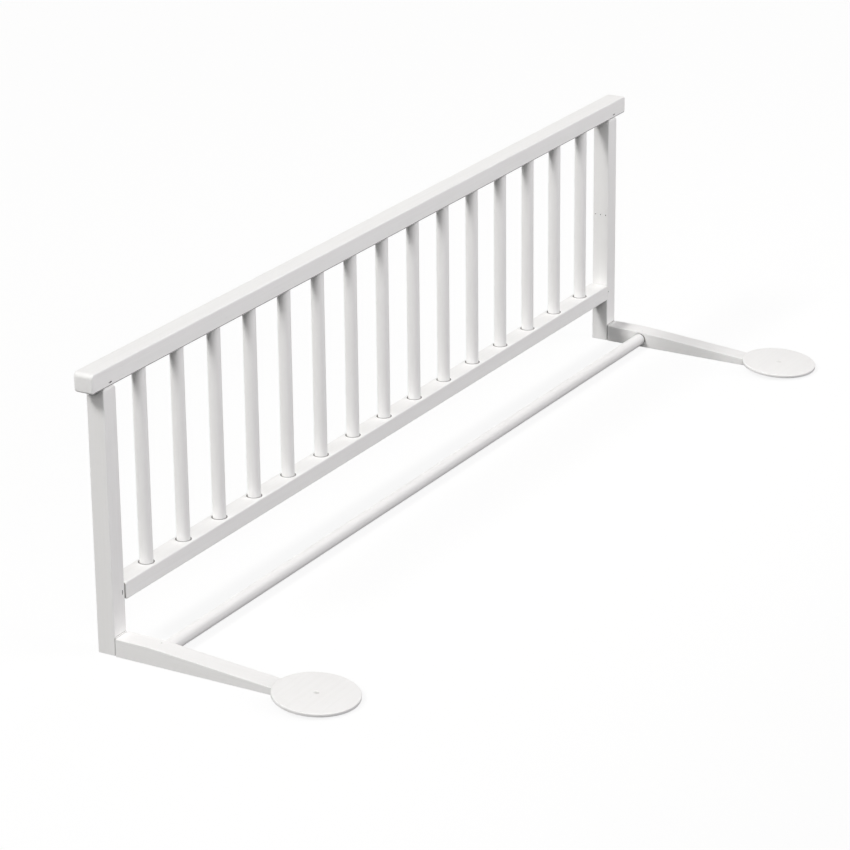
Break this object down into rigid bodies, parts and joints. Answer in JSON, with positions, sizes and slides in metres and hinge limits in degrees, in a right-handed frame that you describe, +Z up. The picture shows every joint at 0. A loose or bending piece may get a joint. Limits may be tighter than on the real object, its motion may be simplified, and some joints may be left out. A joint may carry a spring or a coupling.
{
  "type": "folding bed guard rail",
  "caption": "White wooden bed guard rail: a spindle panel between two posts, hinged to a U-shaped foot frame whose arms end in round plates that slide under the mattress.",
  "frame": {"origin": "centre of the bounding box at its base, the plane the posts and arms stand on", "axes": "+X along the rails towards the right post, +Y from the foot plates towards the panel, +Z up"},
  "size_m": [1.2362, 0.3165, 0.326],
  "materials": {
    "white_lacquered_wood": "white lacquer, satin, faint grain",
    "white_lacquered_metal": "white lacquer over steel, satin",
    "steel": "bright zinc plated"
  },
  "bodies": {
    "panel": {"top_rail": "white_lacquered_wood", "lower_rail": "white_lacquered_wood", "left_post": "white_lacquered_wood", "right_post": "white_lacquered_wood", "spindle_01": "white_lacquered_wood", "spindle_02": "white_lacquered_wood", "spindle_03": "white_lacquered_wood", "spindle_04": "white_lacquered_wood", "spindle_05": "white_lacquered_wood", "spindle_06": "white_lacquered_wood", "spindle_07": "white_lacquered_wood", "spindle_08": "white_lacquered_wood", "spindle_09": "white_lacquered_wood", "spindle_10": "white_lacquered_wood", "spindle_11": "white_lacquered_wood", "spindle_12": "white_lacquered_wood", "spindle_13": "white_lacquered_wood", "spindle_14": "white_lacquered_wood", "spindle_15": "white_lacquered_wood", "left_post_leaf": "white_lacquered_metal", "left_hinge_pin": "white_lacquered_metal", "left_post_leaf_screw_1": "white_lacquered_metal", "left_post_leaf_screw_2": "white_lacquered_metal", "left_rail_brad": "steel", "left_post_brad": "steel", "right_post_leaf": "white_lacquered_metal", "right_hinge_pin": "white_lacquered_metal", "right_post_leaf_screw_1": "white_lacquered_metal", "right_post_leaf_screw_2": "white_lacquered_metal", "right_rail_brad": "steel", "right_post_brad": "steel"},
    "foot_frame": {"cross_rod": "white_lacquered_wood", "left_arm": "white_lacquered_wood", "right_arm": "white_lacquered_wood", "left_disc": "white_lacquered_wood", "right_disc": "white_lacquered_wood", "left_arm_leaf": "white_lacquered_metal", "left_arm_leaf_screw_1": "white_lacquered_metal", "left_arm_leaf_screw_2": "white_lacquered_metal", "left_disc_screw": "white_lacquered_metal", "left_rod_brad": "steel", "right_arm_leaf": "white_lacquered_metal", "right_arm_leaf_screw_1": "white_lacquered_metal", "right_arm_leaf_screw_2": "white_lacquered_metal", "right_disc_screw": "white_lacquered_metal", "right_rod_brad": "steel"}
  },
  "joints": [
    {"name": "foot_fold", "type": "hinge", "parent": "panel", "child": "foot_frame", "pos_m": [0, 0.13404, 0.02015], "axis": [-1, 0, 0], "range_deg": [0, 90]}
  ]
}
